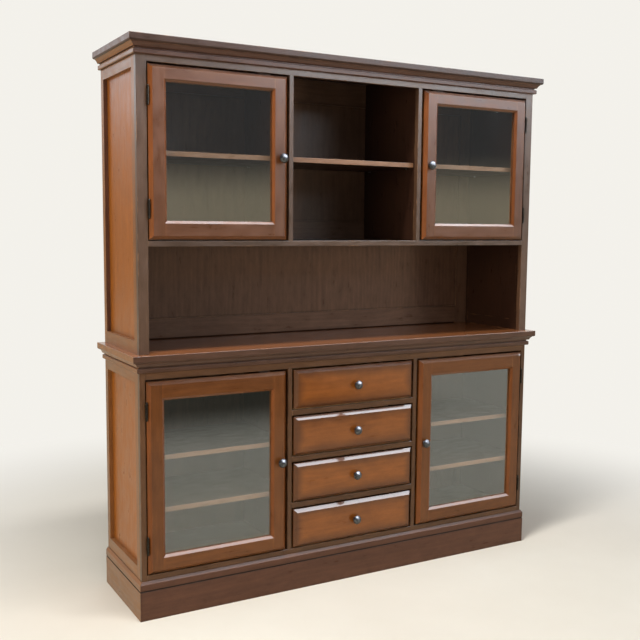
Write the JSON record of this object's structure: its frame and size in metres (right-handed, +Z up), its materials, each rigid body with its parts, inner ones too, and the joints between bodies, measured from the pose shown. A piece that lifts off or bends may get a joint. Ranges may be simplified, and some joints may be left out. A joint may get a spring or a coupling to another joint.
{
  "type": "dresser with hutch",
  "caption": "Wide wooden dresser with a hutch: glazed cupboard doors at both sides, drawers in the middle of the base, an open shelf bay above and an open display space between.",
  "frame": {"origin": "on the floor, at the middle of the whole cabinet's box in width and depth, knobs included", "axes": "+X to the right seen from the front, +Y to the back, +Z up"},
  "size_m": [1.811, 0.45, 2.029],
  "materials": {
    "stained_wood": "reddish-brown stain under satin varnish",
    "panel_wood": "lighter reddish-brown stain under satin varnish",
    "back_wood": "dark brown stain, matt",
    "pale_wood": "plain sealed wood",
    "glass": "clear",
    "dark_pewter": "dark burnished pewter",
    "black_metal": "near-black",
    "pin_steel": "plain steel",
    "catch_plastic": "brown, matt"
  },
  "bodies": {
    "cabinet": {"plinth_boards": "stained_wood", "plinth_cap": "stained_wood", "base_side_frames": "stained_wood", "base_side_panels": "panel_wood", "base_face_frame": "stained_wood", "drawer_rails": "stained_wood", "drawer_runners": "pale_wood", "drawer_guides": "pale_wood", "base_partitions": "stained_wood", "base_floor": "stained_wood", "base_back": "back_wood", "base_top": "stained_wood", "base_top_moulding": "stained_wood", "hutch_side_frames": "stained_wood", "hutch_side_panels": "panel_wood", "hutch_face_frame": "stained_wood", "hutch_partitions": "stained_wood", "hutch_floor": "stained_wood", "hutch_back_frame": "back_wood", "hutch_back_panels": "back_wood", "crown_top": "stained_wood", "crown_moulding": "stained_wood", "shelf_pins": "pin_steel", "base_shelves": "stained_wood", "hutch_shelves": "stained_wood", "door_catches": "catch_plastic", "hinge_frame_leaves": "black_metal", "hinge_pins": "black_metal"},
    "upper_left_door": {"upper_left_door_frame": "stained_wood", "upper_left_door_glass": "glass", "upper_left_door_glass_stops": "stained_wood", "upper_left_door_knob": "dark_pewter", "upper_left_door_hinge_leaves": "black_metal"},
    "upper_right_door": {"upper_right_door_frame": "stained_wood", "upper_right_door_glass": "glass", "upper_right_door_glass_stops": "stained_wood", "upper_right_door_knob": "dark_pewter", "upper_right_door_hinge_leaves": "black_metal"},
    "lower_left_door": {"lower_left_door_frame": "stained_wood", "lower_left_door_glass": "glass", "lower_left_door_glass_stops": "stained_wood", "lower_left_door_knob": "dark_pewter", "lower_left_door_hinge_leaves": "black_metal"},
    "lower_right_door": {"lower_right_door_frame": "stained_wood", "lower_right_door_glass": "glass", "lower_right_door_glass_stops": "stained_wood", "lower_right_door_knob": "dark_pewter", "lower_right_door_hinge_leaves": "black_metal"},
    "drawer_1": {"drawer_1_front": "stained_wood", "drawer_1_box": "pale_wood", "drawer_1_knob": "dark_pewter"},
    "drawer_2": {"drawer_2_front": "stained_wood", "drawer_2_box": "pale_wood", "drawer_2_knob": "dark_pewter"},
    "drawer_3": {"drawer_3_front": "stained_wood", "drawer_3_box": "pale_wood", "drawer_3_knob": "dark_pewter"},
    "drawer_4": {"drawer_4_front": "stained_wood", "drawer_4_box": "pale_wood", "drawer_4_knob": "dark_pewter"}
  },
  "joints": [
    {"name": "upper_left_door_hinge", "type": "hinge", "parent": "cabinet", "child": "upper_left_door", "pos_m": [-0.836, -0.189, 1.3435], "axis": [0, 0, -1], "range_deg": [0, 110]},
    {"name": "upper_right_door_hinge", "type": "hinge", "parent": "cabinet", "child": "upper_right_door", "pos_m": [0.836, -0.189, 1.3435], "axis": [0, 0, 1], "range_deg": [0, 110]},
    {"name": "lower_left_door_hinge", "type": "hinge", "parent": "cabinet", "child": "lower_left_door", "pos_m": [-0.853, -0.189, 0.161], "axis": [0, 0, -1], "range_deg": [0, 110]},
    {"name": "lower_right_door_hinge", "type": "hinge", "parent": "cabinet", "child": "lower_right_door", "pos_m": [0.853, -0.189, 0.161], "axis": [0, 0, 1], "range_deg": [0, 110]},
    {"name": "drawer_1_slide", "type": "slide", "parent": "cabinet", "child": "drawer_1", "axis": [0, -1, 0], "range_m": [0, 0.28]},
    {"name": "drawer_2_slide", "type": "slide", "parent": "cabinet", "child": "drawer_2", "axis": [0, -1, 0], "range_m": [0, 0.28]},
    {"name": "drawer_3_slide", "type": "slide", "parent": "cabinet", "child": "drawer_3", "axis": [0, -1, 0], "range_m": [0, 0.28]},
    {"name": "drawer_4_slide", "type": "slide", "parent": "cabinet", "child": "drawer_4", "axis": [0, -1, 0], "range_m": [0, 0.28]}
  ]
}
